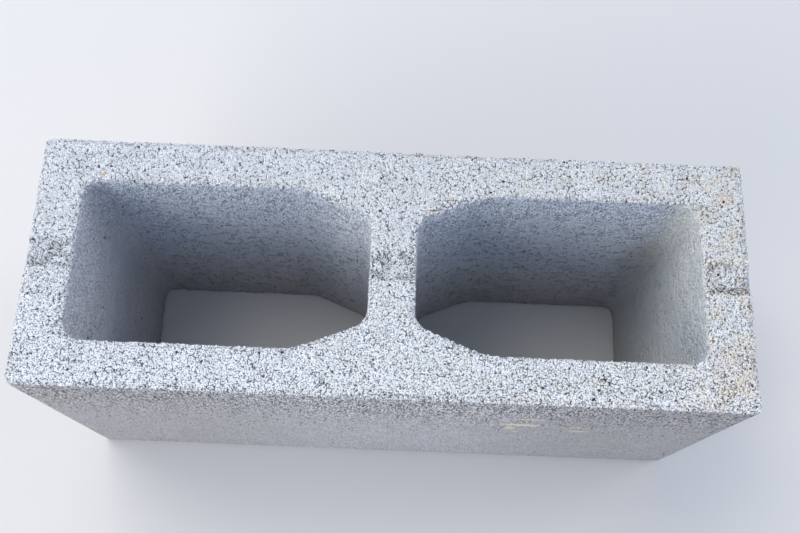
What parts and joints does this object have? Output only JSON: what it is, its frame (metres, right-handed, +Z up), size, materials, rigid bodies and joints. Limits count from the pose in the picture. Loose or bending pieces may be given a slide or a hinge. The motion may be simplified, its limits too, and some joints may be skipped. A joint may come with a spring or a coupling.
{
  "type": "hollow concrete block",
  "caption": "Hollow masonry block of grey concrete with plain flat ends and tapered, haunched cores open through both beds.",
  "frame": {"origin": "middle of the bottom bed, the narrow end of the cores, at floor level", "axes": "+X along the length, +Y through the thickness from the front face to the back face, +Z up, out of the wide mouths of the cores"},
  "size_m": [0.39, 0.14, 0.19],
  "materials": {
    "concrete": "matte"
  },
  "bodies": {
    "root": {"concrete_block": "concrete"}
  },
  "joints": []
}
